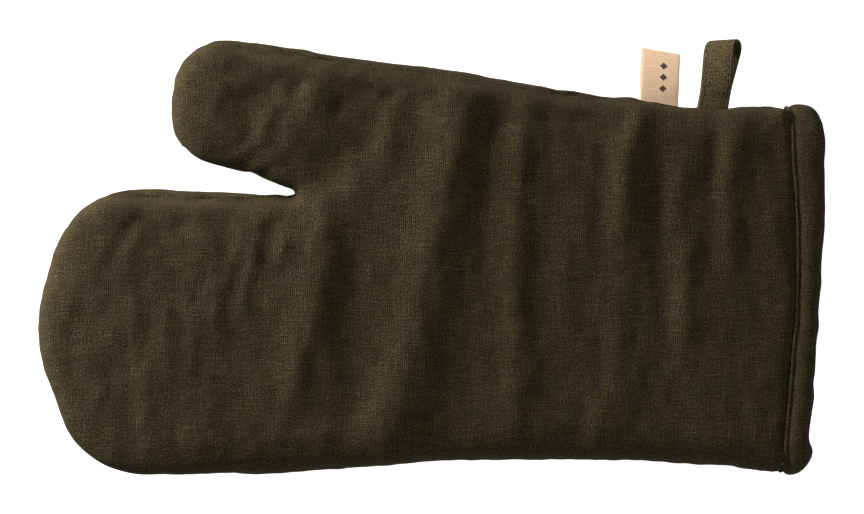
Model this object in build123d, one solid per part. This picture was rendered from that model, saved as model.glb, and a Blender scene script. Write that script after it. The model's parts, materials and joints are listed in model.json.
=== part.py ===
"""Padded oven mitt with one thumb, lying on its back, in millimetres.

The mitt is a nest of bags. Each bag is a flat pillow shape: the mitt's outline, so thick, with round edges.
A layer of cloth or wadding is the space between two such pillows, and a seam plane at half height parts
it into a front and a back panel. At the wrist the layers are pressed thinner and a bias tape wraps them.
A hanging loop and a folded label are caught in the side seam, and each swings about that seam.

X runs from the fingertips to the cuff, Y from the little finger's side to the thumb's side, and Z is up.
The pattern is drawn with X = 0 at the cuff's end and Y = 0 at the little finger's edge. The parts are
then moved so that the origin is at the centre of the bottom of the whole mitt's box.
"""

from build123d import *
import math
import os

# Overall size of the mitt
MITT_LENGTH = 320.0        # fingertips to the end of the cuff
PALM_WIDTH = 148.0         # across the wrist, seam to seam
MITT_THICKNESS = 32.0      # loft of the padded mitt as it lies
EDGE_RADIUS = 14.0         # roundness of the padded edge, seen from its end

# Finger pocket
FINGER_WIDTH = 113.6       # across the four fingers
FINGERTIP_FLARE = 3.0      # how much wider it is at the fingertips
FINGERTIP_RADIUS = 32.0    # corner beside the thumb
FINGERTIP_CROWN = 60.0     # blunt end of the pocket
LITTLE_FINGER_RADIUS = 38.0
LITTLE_FINGER_WAIST = 7.0  # how far the wrist draws in on the little finger's side
LITTLE_FINGER_FLARE = 9.5  # how far it swells again towards the cuff
WAIST_RADIUS = 300.0
WRIST_SHIFT = 2.0          # the wrist stands this far over towards the thumb

# Thumb pocket
THUMB_REACH = 267.0        # cuff's end to the thumb's tip
THUMB_WIDTH = 49.0
THUMB_GAP = 16.9           # between the thumb's tip and the fingers
THUMB_TIP_RADIUS = 21.5
THUMB_ROOT_DROP = 9.0      # how far the thumb's inner edge comes down before it turns into the crotch
THUMB_ROOT_SHARE = 0.66    # where it turns, as a share of the way from the tip to the crotch
THUMB_ROOT_RADIUS = 45.0
CROTCH_REACH = 211.0       # cuff's end to the point where thumb and fingers part
CROTCH_RADIUS = 1.0
WRIST_RADIUS = 160.0       # turn from the thumb's outer edge into the wrist

# Layers, from the outside in
SHELL = 0.9                # linen and cotton outer cloth
BATTING = 4.0              # wadding, at its free thickness
BATTING_PRESSED = 2.0      # the same wadding where the binding grips it
LINING = 0.6
THREAD = 0.6               # sewing thread laid in its seam

# Binding round the mouth
BINDING_WIDTH = 13.0       # width that shows outside
BINDING_TAPE = 1.6         # folded tape's thickness
BINDING_END_ROUND = 1.4
DITCH = 0.8                # open groove beside the binding, where it is stitched
CUFF_LEAN = 1.4            # degrees that the cuff leans from square, longer on the thumb's side
JOIN_OFFSET = 66.0         # diagonal join of the tape, from the thumb's side of the cuff
JOIN_ANGLE = 45.0

# Hanging loop and label, both caught in the thumb's side seam
LOOP_FROM_CUFF = 43.5      # cuff's end to the loop's middle
LOOP_WIDTH = 14.0
LOOP_REACH = 25.0          # seam to the loop's far end
LOOP_TAPE = 1.6
LOOP_EYE_RADIUS = 3.6      # inside the loop's round end
LOOP_LEAN = 6.0            # degrees that the loop leans towards the cuff
LOOP_STITCH_INSET = 1.6    # edge stitching, from the tape's edge
LABEL_FROM_CUFF = 67.0
LABEL_WIDTH = 15.5
LABEL_REACH = 21.0
LABEL_RIBBON = 0.45
LABEL_FOLD_RADIUS = 0.6    # inside the label's fold
LABEL_LEAN = 3.0
HINGE_CLEARANCE = 0.35     # between a tab's root and the shell
ROOT_GAP = 0.1             # radius left inside a tab's folded root

FAR = 600.0                # larger than the whole mitt
PAST_CUFF = 40.0           # the pillows run this far past the cuff before they are cut
CUFF_ZONE = 30.0           # the pillows that only the cuff needs start this far before its end
TRIM = 1.0                 # a cutting block reaches this far past what it cuts

WALL = SHELL + BATTING + LINING
SEAM_HEIGHT = MITT_THICKNESS / 2
RIM_RADIUS = min(EDGE_RADIUS, SEAM_HEIGHT - TRIM)
THUMB_SIDE = PALM_WIDTH + WRIST_SHIFT          # Y of the thumb's side seam at the wrist
CUFF_MIDDLE = PALM_WIDTH / 2
BINDING_START = -BINDING_WIDTH                 # X where the visible binding begins
BODY_END = BINDING_START - DITCH - SHELL       # X where the layers step down into the binding
LAYERS_END = -BINDING_TAPE                     # X of the layers' raw edges

# Depths in the gripped zone, below the mitt's outer surface
GRIP_SHELL = BINDING_TAPE
GRIP_BATTING = GRIP_SHELL + SHELL
GRIP_LINING = GRIP_BATTING + BATTING_PRESSED
GRIP_INSIDE = GRIP_LINING + LINING
BINDING_INSIDE = GRIP_INSIDE + BINDING_TAPE


def outline():
    """Closed face of the mitt's cutting outline, running past the cuff."""
    tip = -MITT_LENGTH
    thumb_tip = -THUMB_REACH
    thumb_low = FINGER_WIDTH + THUMB_GAP
    thumb_root = thumb_tip + THUMB_ROOT_SHARE * (THUMB_REACH - CROTCH_REACH)
    corners = [
        # X, Y and the radius of the rounded corner, from the wrist round the thumb and the fingers
        (3.0 - LABEL_FROM_CUFF, THUMB_SIDE + 1.0, WRIST_RADIUS),
        (thumb_tip + 3.0, thumb_low + THUMB_WIDTH, THUMB_TIP_RADIUS),
        (thumb_tip - 0.6, thumb_low, THUMB_TIP_RADIUS),
        (thumb_root, thumb_low - THUMB_ROOT_DROP, THUMB_ROOT_RADIUS),
        (-CROTCH_REACH, FINGER_WIDTH, CROTCH_RADIUS),
        (tip + 14.0, FINGER_WIDTH + FINGERTIP_FLARE, FINGERTIP_RADIUS),
        (tip - 2.8, FINGER_WIDTH / 2, FINGERTIP_CROWN),
        (tip + 18.5, 0.0, LITTLE_FINGER_RADIUS),
        (tip + 80.0, 0.0, WAIST_RADIUS),
        (tip + 168.0, LITTLE_FINGER_WAIST, WAIST_RADIUS),
        (tip + 240.0, LITTLE_FINGER_WAIST, WAIST_RADIUS),
    ]
    upper_end = (PAST_CUFF, THUMB_SIDE)
    lower_end = (PAST_CUFF, LITTLE_FINGER_WAIST - LITTLE_FINGER_FLARE)
    points = [upper_end] + [corner[:2] for corner in corners] + [lower_end]
    hand = FilletPolyline(*points, radius=[corner[2] for corner in corners])
    return make_face(Wire([*hand.edges(), Edge.make_line(lower_end, upper_end)]))


PILLOWS = {}


def pillow(depth, start=-FAR):
    """Solid of the mitt's outer form from X = start on, taken in by depth on every side."""
    if (depth, start) not in PILLOWS:
        run = PAST_CUFF - start
        face = outline() & Pos(start + run / 2, CUFF_MIDDLE) * Rectangle(run, FAR)
        face = offset(face, -depth, kind=Kind.ARC) if depth else face
        block = extrude(Pos(0, 0, depth) * face, MITT_THICKNESS - 2 * depth)
        edges = block.faces().filter_by(Axis.Z).edges()
        rims = edges.filter_by(lambda e: start + CUFF_ZONE / 3 < e.center().X < PAST_CUFF / 2)
        PILLOWS[depth, start] = fillet(rims, RIM_RADIUS - depth)
    return PILLOWS[depth, start]


def cuff_frame():
    """Placement whose X = 0 plane is the leaning end of the cuff."""
    return Pos(0, CUFF_MIDDLE, 0) * Rot(0, 0, -CUFF_LEAN)


def between(start, end):
    """Block that holds everything from X = start to X = end, measured square to the leaning cuff."""
    block = Box(end - start, FAR, FAR, align=(Align.MIN, Align.CENTER, Align.CENTER))
    return cuff_frame() * Pos(start, 0, 0) * block


def layer(start, end, outer, inner):
    """Closed tube between two pillows, from X = start to X = end."""
    root = -CUFF_ZONE if start > -CUFF_ZONE else -FAR
    return (pillow(outer, root) - pillow(inner, root)) & between(start, end)


def seam_band(height):
    """Flat slice of the space at the seam plane, as thick as height."""
    return Pos(0, 0, SEAM_HEIGHT) * Box(2 * FAR, 2 * FAR, height)


def half_space(side):
    """Block that holds everything on one side of the seam plane."""
    return Pos(0, 0, SEAM_HEIGHT) * Box(2 * FAR, 2 * FAR, FAR, align=(Align.CENTER, Align.CENTER, side))


def front(shape):
    """The part of a shape above the seam plane."""
    return shape & half_space(Align.MIN)


def back(shape):
    """The part of a shape below the seam plane."""
    return shape & half_space(Align.MAX)


def shell():
    """Outer cloth: the visible bag, a step down beside the binding, and the edge held under the binding."""
    body = layer(-FAR, BODY_END + SHELL, 0, SHELL)
    step = layer(BODY_END, BODY_END + SHELL, 0, GRIP_BATTING)
    held = layer(BODY_END, LAYERS_END, GRIP_SHELL, GRIP_BATTING)
    return body + step + held


def lining():
    """Inner cloth, taken out a little where the wadding is gripped."""
    body = layer(-FAR, BODY_END, SHELL + BATTING, WALL)
    held = layer(BODY_END, LAYERS_END, GRIP_LINING, GRIP_INSIDE)
    step = layer(BODY_END - LINING, BODY_END, min(GRIP_LINING, SHELL + BATTING), max(GRIP_INSIDE, WALL))
    return body + held + step


def batting(cloths, threads):
    """Wadding: all the room between shell and lining, less the threads laid in it."""
    body = layer(-FAR, BODY_END, SHELL, SHELL + BATTING)
    held = layer(BODY_END, LAYERS_END, GRIP_BATTING, GRIP_LINING)
    whole = body + held
    for other in [*cloths, *threads]:
        whole = whole - other
    return whole


def shell_seam_thread():
    """Thread of the side seam that joins the two shell panels, laid against the shell's inner face."""
    return layer(-FAR, BODY_END - THREAD, SHELL, SHELL + THREAD) & seam_band(THREAD)


def lining_seam_thread():
    """Thread of the lining's own side seam, on the wadding's side of the lining."""
    depth = SHELL + BATTING - THREAD
    return layer(-FAR, BODY_END - 2 * THREAD, depth, depth + THREAD) & seam_band(THREAD)


def binding_thread():
    """Thread round the mouth, at the bottom of the ditch beside the binding."""
    start = BODY_END + SHELL
    return layer(start, start + THREAD, GRIP_SHELL - THREAD, GRIP_SHELL)


def join_block(width, depth):
    """Block along the tape's diagonal join, on the front face of the binding."""
    run = (BINDING_WIDTH - 2 * BINDING_END_ROUND) / math.cos(math.radians(JOIN_ANGLE))
    middle = Pos(BINDING_START / 2, CUFF_MIDDLE - JOIN_OFFSET, MITT_THICKNESS)
    block = Box(run, width, 2 * depth)
    return cuff_frame() * middle * Rot(0, 0, -JOIN_ANGLE) * block


def binding(thread):
    """Bias tape folded over the raw edges: one closed channel with an outer leg, an end and an inner leg."""
    channel = layer(BINDING_START, 0, 0, BINDING_INSIDE)
    end_loops = channel.faces().sort_by(Axis.X)[-1].edges()
    channel = fillet(end_loops, BINDING_END_ROUND)
    gripped = layer(BINDING_START - TRIM, LAYERS_END, GRIP_SHELL, GRIP_INSIDE)
    return channel - gripped - thread - join_block(THREAD, THREAD)


def join_thread():
    """Thread in the groove of the tape's diagonal join."""
    return join_block(THREAD, THREAD) & pillow(0, -CUFF_ZONE)


def edge_point(from_cuff):
    """Point of the thumb's side seam at a distance from the cuff, and the seam's direction there in degrees."""
    side = outline().edges().filter_by(lambda e: e.center().Y > CUFF_MIDDLE and e.center().X > -THUMB_REACH / 2)
    cut = Edge.make_line((-from_cuff, CUFF_MIDDLE), (-from_cuff, 2 * PALM_WIDTH))
    near = min(side, key=lambda e: e.distance_to(cut))
    foot = near.distance_to_with_closest_points(cut)[1]
    slope = near.tangent_at(near.param_at_point(foot))
    return foot, math.degrees(math.atan(slope.Y / slope.X))


def hinge_place(from_cuff, tape):
    """Placement of a tab's root beside the side seam, with X along the seam and Y pointing away from it."""
    foot, slope = edge_point(from_cuff)
    stand_off = tape + ROOT_GAP + HINGE_CLEARANCE
    return Pos(foot.X, foot.Y, SEAM_HEIGHT) * Rot(0, 0, slope) * Pos(0, stand_off, 0)


def teardrop(root_radius, end_radius, reach):
    """Face of a folded tape's outline seen from its edge: a small round root and a larger round end."""
    root = Circle(root_radius)
    end = Pos(reach - end_radius, 0) * Circle(end_radius)
    return make_hull([*root.edges(), *end.edges()])


def across(profile, width):
    """A tab's side profile stood up and run well past the tab's width on both sides."""
    upright = Plane(origin=(-1.5 * width, 0, 0), x_dir=(0, 1, 0), z_dir=(1, 0, 0))
    return extrude(upright * profile, 3 * width)


def tab(width, reach, tape, fold_radius, lean):
    """Tape folded back on itself, its root on the Z = 0, Y = 0 line and its end at Y = reach.
    The sides lean, and the root and the end stay square."""
    outer = teardrop(tape + ROOT_GAP, fold_radius + tape, reach)
    inner = teardrop(ROOT_GAP, fold_radius, reach - tape)
    strip = Rot(0, 0, -lean) * Box(width, FAR, FAR)
    return across(outer - inner, width) & strip


def hanging_loop():
    """Loop of folded tape and the stitching that holds its long edge shut."""
    body = tab(LOOP_WIDTH, LOOP_REACH, LOOP_TAPE, LOOP_EYE_RADIUS, LOOP_LEAN)
    root, end = LOOP_TAPE + ROOT_GAP, LOOP_EYE_RADIUS + LOOP_TAPE
    sunk = THREAD / 2
    surface = teardrop(root, end, LOOP_REACH) - teardrop(root - sunk, end - sunk, LOOP_REACH - sunk)
    line = Pos(LOOP_STITCH_INSET - LOOP_WIDTH / 2, 0, 0) * Box(THREAD, FAR, FAR)
    stitch = across(surface, LOOP_WIDTH) & (Rot(0, 0, -LOOP_LEAN) * line)
    place = hinge_place(LOOP_FROM_CUFF, LOOP_TAPE)
    return place * (body - stitch), place * stitch


def label():
    """Short folded ribbon."""
    body = tab(LABEL_WIDTH, LABEL_REACH, LABEL_RIBBON, LABEL_FOLD_RADIUS, LABEL_LEAN)
    return hinge_place(LABEL_FROM_CUFF, LABEL_RIBBON) * body


def build():
    """Every node of the mitt, by name, in the pattern's own frame."""
    outer, inner = shell(), lining()
    side_thread, inner_thread, mouth_thread = shell_seam_thread(), lining_seam_thread(), binding_thread()
    padding = batting([outer, inner], [side_thread, inner_thread])
    loop, loop_stitch = hanging_loop()
    return {
        "shell_front": front(outer),
        "shell_back": back(outer),
        "batting_front": front(padding),
        "batting_back": back(padding),
        "lining_front": front(inner),
        "lining_back": back(inner),
        "cuff_binding": binding(mouth_thread),
        "shell_seam_thread": side_thread,
        "lining_seam_thread": inner_thread,
        "binding_thread": mouth_thread,
        "binding_join_thread": join_thread(),
        "hanging_loop": loop,
        "loop_edge_thread": loop_stitch,
        "label": label(),
    }


def main():
    """Builds the mitt, moves it to its origin and writes one STEP file for each node."""
    nodes = build()
    box = Compound(children=[Compound(shape.solids()) for shape in nodes.values()]).bounding_box()
    home = Pos(-box.center().X, -box.center().Y, -box.min.Z)
    print("moved by", home.position, "box", box.size)
    os.makedirs("parts", exist_ok=True)
    for name, shape in nodes.items():
        export_step(home * Compound(shape.solids()), f"parts/{name}.step")
    for name, distance, tape in (("loop", LOOP_FROM_CUFF, LOOP_TAPE), ("label", LABEL_FROM_CUFF, LABEL_RIBBON)):
        place = home * hinge_place(distance, tape)
        print(name, "hinge at", place.position, "turned", place.orientation.Z)


main()
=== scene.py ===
"""Looks of a padded oven mitt: two quilted linen walls, a bound cuff, a hanging loop and a ribbon label.

Sizes in the classes are millimetres in the frame's own axes: +X towards the cuff, +Y towards the thumb
and +Z up. They turn to metres where a mesh is made.
"""

import json
import logging
import math
from dataclasses import dataclass, field
from enum import Enum
from typing import Any

import bpy
import numpy as np
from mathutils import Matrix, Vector, geometry, noise
from mathutils.bvhtree import BVHTree

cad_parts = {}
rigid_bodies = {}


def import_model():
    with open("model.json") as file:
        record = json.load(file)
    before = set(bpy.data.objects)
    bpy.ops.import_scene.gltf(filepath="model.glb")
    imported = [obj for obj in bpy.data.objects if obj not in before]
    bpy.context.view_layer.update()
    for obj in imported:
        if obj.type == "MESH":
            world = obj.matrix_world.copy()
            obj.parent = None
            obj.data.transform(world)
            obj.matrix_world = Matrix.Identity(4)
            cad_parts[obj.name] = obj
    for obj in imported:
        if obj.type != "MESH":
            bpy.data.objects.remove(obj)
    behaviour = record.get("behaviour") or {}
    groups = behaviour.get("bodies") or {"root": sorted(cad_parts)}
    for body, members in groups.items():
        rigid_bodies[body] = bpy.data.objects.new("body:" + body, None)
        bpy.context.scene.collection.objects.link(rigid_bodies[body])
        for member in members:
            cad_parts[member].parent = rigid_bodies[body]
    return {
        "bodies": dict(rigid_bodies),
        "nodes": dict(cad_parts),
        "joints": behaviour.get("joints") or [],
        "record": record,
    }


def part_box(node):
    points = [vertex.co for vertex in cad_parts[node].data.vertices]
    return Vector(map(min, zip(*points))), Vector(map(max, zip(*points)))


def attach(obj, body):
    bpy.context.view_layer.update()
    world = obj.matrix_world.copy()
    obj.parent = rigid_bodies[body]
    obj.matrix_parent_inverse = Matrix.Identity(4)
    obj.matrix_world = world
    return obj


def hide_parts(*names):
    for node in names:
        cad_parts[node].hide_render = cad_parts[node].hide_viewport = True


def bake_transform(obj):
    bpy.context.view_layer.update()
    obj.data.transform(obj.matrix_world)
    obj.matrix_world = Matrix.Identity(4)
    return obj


LOG = logging.getLogger("oven_mitt")
MM = 0.001
# A diagonal Wave Texture of this scale has its bands about a metre apart.
WAVE_SCALE = 0.314
Array = np.ndarray
Line = tuple[tuple[float, float], ...]
Grain = tuple[float, float, float]


# --------------------------------------------------------------------------- small helpers


def linear(colour: str) -> tuple[float, float, float, float]:
    """Turns an sRGB hex colour into the linear colour that a shader takes.

    Args:
        colour: six hex digits after a hash.

    Returns:
        Red, green, blue and an alpha of 1.
    """
    parts = [int(colour[i : i + 2], 16) / 255 for i in (1, 3, 5)]
    shares = [c / 12.92 if c <= 0.04045 else ((c + 0.055) / 1.055) ** 2.4 for c in parts]
    return shares[0], shares[1], shares[2], 1.0


def feed(tree: bpy.types.NodeTree, node: bpy.types.Node, feeds: dict) -> None:
    """Gives a node's inputs what they take.

    Args:
        tree: the material's node tree.
        node: the node to feed.
        feeds: what each input takes, a socket to link or a plain value.
    """
    for key, value in feeds.items():
        if isinstance(value, bpy.types.NodeSocket):
            tree.links.new(value, node.inputs[key])
        else:
            node.inputs[key].default_value = value


def add_node(
    tree: bpy.types.NodeTree, kind: str, feeds: dict | None = None, **settings: Any
) -> bpy.types.Node:
    """Adds one shader node with its settings and its links.

    Args:
        tree: the material's node tree.
        kind: the node's type name.
        feeds: what each input takes, a socket to link or a plain value.
        settings: properties of the node itself.

    Returns:
        The new node.
    """
    made = tree.nodes.new(kind)
    for name, value in settings.items():
        setattr(made, name, value)
    feed(tree, made, feeds or {})
    return made


def new_material(name: str) -> tuple[bpy.types.Material, bpy.types.NodeTree, bpy.types.Node]:
    """Starts a material.

    Args:
        name: what the material is.

    Returns:
        The material, its node tree and its shader.
    """
    made = bpy.data.materials.new(name)
    made.use_nodes = True
    return made, made.node_tree, made.node_tree.nodes["Principled BSDF"]


def per(size: float) -> float:
    """A pattern's scale, from the size in mm of one grain of it."""
    return 1 / (size * MM)


def smoothstep(x: Array, low: float, high: float) -> Array:
    """Eases from 0 at low to 1 at high."""
    t = np.clip((np.asarray(x, float) - low) / (high - low), 0, 1)
    return t * t * (3 - 2 * t)


def above(z: Array, floor: float, ease: float = 0.35) -> Array:
    """Keeps heights above a floor, easing onto it instead of cutting them off.

    Args:
        z: the heights, in mm.
        floor: the lowest that any may be.
        ease: how softly they come to rest on it, in mm.

    Returns:
        The heights, all above the floor.
    """
    return floor + ease * np.logaddexp(0, (z - floor) / ease)


def blur(values: Array, sigma: float) -> Array:
    """Smooths evenly spaced values with a bell, keeping straight ends straight.

    Args:
        values: one row for each place.
        sigma: the bell's width, in steps.

    Returns:
        The smoothed values.
    """
    reach = int(3 * sigma) + 1
    weights = np.exp(-0.5 * (np.arange(-reach, reach + 1) / sigma) ** 2)
    weights /= weights.sum()
    columns = values.reshape(len(values), -1)
    out = np.empty_like(columns, float)
    for c in range(columns.shape[1]):
        v = columns[:, c]
        before = 2 * v[0] - v[reach:0:-1]
        after = 2 * v[-1] - v[-2 : -reach - 2 : -1]
        out[:, c] = np.convolve(np.concatenate((before, v, after)), weights, "valid")
    return out.reshape(values.shape)


def ways(line: Array) -> Array:
    """The way along a line to each of its points."""
    return np.concatenate(([0], np.cumsum(np.linalg.norm(np.diff(line, axis=0), axis=1))))


def picked(rows: Array, way: Array, at: Array) -> Array:
    """Reads what goes with each point of a line at other ways along it.

    Args:
        rows: a place or a direction for each point of the line.
        way: the way along the line to each point.
        at: the ways that are wanted.

    Returns:
        One row for each way that is wanted.
    """
    return np.column_stack([np.interp(at, way, column) for column in rows.T])


def unit(rows: Array) -> Array:
    """Each row as a direction of length 1."""
    return rows / np.linalg.norm(rows, axis=1)[:, None]


def bell(x: Array, middle: float, width: float) -> Array:
    """A bell that is 1 at its middle and about a third at its width."""
    return np.exp(-(((x - middle) / width) ** 2))


def ripple(points: Array, size: Grain, seed: float) -> Array:
    """Soft noise of about -0.5 to 0.5 at each point.

    Args:
        points: places in mm, one row each.
        size: the noise's grain along X, Y and Z, in mm.
        seed: moves the noise, so that two uses differ.

    Returns:
        One value for each point.
    """
    scaled = points / np.array(size)
    return np.array([noise.noise(Vector((x, y, z + seed))) for x, y, z in scaled])


def make_object(name: str, points: Array, faces: list, uv: Array | None = None) -> bpy.types.Object:
    """Makes a smooth-shaded mesh object from points in mm, with its place in its mesh.

    Args:
        name: the piece's name.
        points: the vertices.
        faces: vertex numbers of each face.
        uv: cloth coordinates in metres, one pair for each vertex.

    Returns:
        The object, linked to the scene.
    """
    mesh = bpy.data.meshes.new(name)
    mesh.from_pydata((np.asarray(points, float) * MM).tolist(), [], [list(map(int, f)) for f in faces])
    if uv is not None:
        corners = np.zeros(len(mesh.loops), np.int32)
        mesh.loops.foreach_get("vertex_index", corners)
        layer = mesh.uv_layers.new(name="cloth")
        layer.data.foreach_set("uv", np.asarray(uv, np.float32)[corners].ravel())
    mesh.polygons.foreach_set("use_smooth", [True] * len(mesh.polygons))
    mesh.update()
    piece = bpy.data.objects.new(name, mesh)
    bpy.context.scene.collection.objects.link(piece)
    return piece


def tube_faces(rows: int, count: int, joined: bool) -> list:
    """Makes the faces between the neighbouring rings of a tube.

    Args:
        rows: how many rings there are.
        count: how many points each ring has.
        joined: whether the last ring meets the first.

    Returns:
        The point numbers of each face.
    """
    faces = []
    for k in range(rows if joined else rows - 1):
        after = (k + 1) % rows
        for i in range(count):
            nxt = (i + 1) % count
            faces.append((k * count + i, k * count + nxt, after * count + nxt, after * count + i))
    return faces


def deselect_all() -> None:
    """Leaves nothing selected."""
    for other in bpy.context.selected_objects:
        other.select_set(False)


def select_only(piece: bpy.types.Object) -> None:
    """Leaves one object selected and active.

    Args:
        piece: the object.
    """
    deselect_all()
    piece.select_set(True)
    bpy.context.view_layer.objects.active = piece


def turn_outwards(piece: bpy.types.Object) -> None:
    """Points every face of a closed mesh outwards.

    Args:
        piece: the mesh's object.
    """
    select_only(piece)
    bpy.ops.object.mode_set(mode="EDIT")
    bpy.ops.mesh.select_all(action="SELECT")
    bpy.ops.mesh.normals_make_consistent(inside=False)
    bpy.ops.object.mode_set(mode="OBJECT")
    piece.select_set(False)


def dress(piece: bpy.types.Object, node: str, finish: bpy.types.Material) -> None:
    """Gives a piece of the mitt's own body its finish, and the CAD node that it stands for.

    Args:
        piece: the piece.
        node: the CAD node.
        finish: its material.
    """
    piece.data.materials.append(finish)
    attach(piece, "mitt")
    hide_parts(node)
    LOG.info("%s: %d faces", piece.name, len(piece.data.polygons))


def flat_cut(piece: bpy.types.Object) -> tuple[tuple[float, float], float]:
    """Measures the flat cloth that a closed layer was cut from, by the cloth's own coordinates.

    Args:
        piece: the layer, both of whose faces carry the same coordinates.

    Returns:
        Its (width, length) and its area, in metres.
    """
    layer = piece.data.uv_layers["cloth"].data
    uv = np.zeros(len(layer) * 2, np.float32)
    layer.foreach_get("uv", uv)
    uv = uv.reshape(-1, 2).astype(float)
    area = 0.0
    for face in piece.data.polygons:
        corners = uv[face.loop_start : face.loop_start + face.loop_total]
        u, v = corners.T
        area += abs(float(u @ np.roll(v, -1) - v @ np.roll(u, -1))) / 2
    length, width = np.ptp(uv, axis=0)
    return (float(width), float(length)), area / 2


# --------------------------------------------------------------------------- finishes


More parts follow.
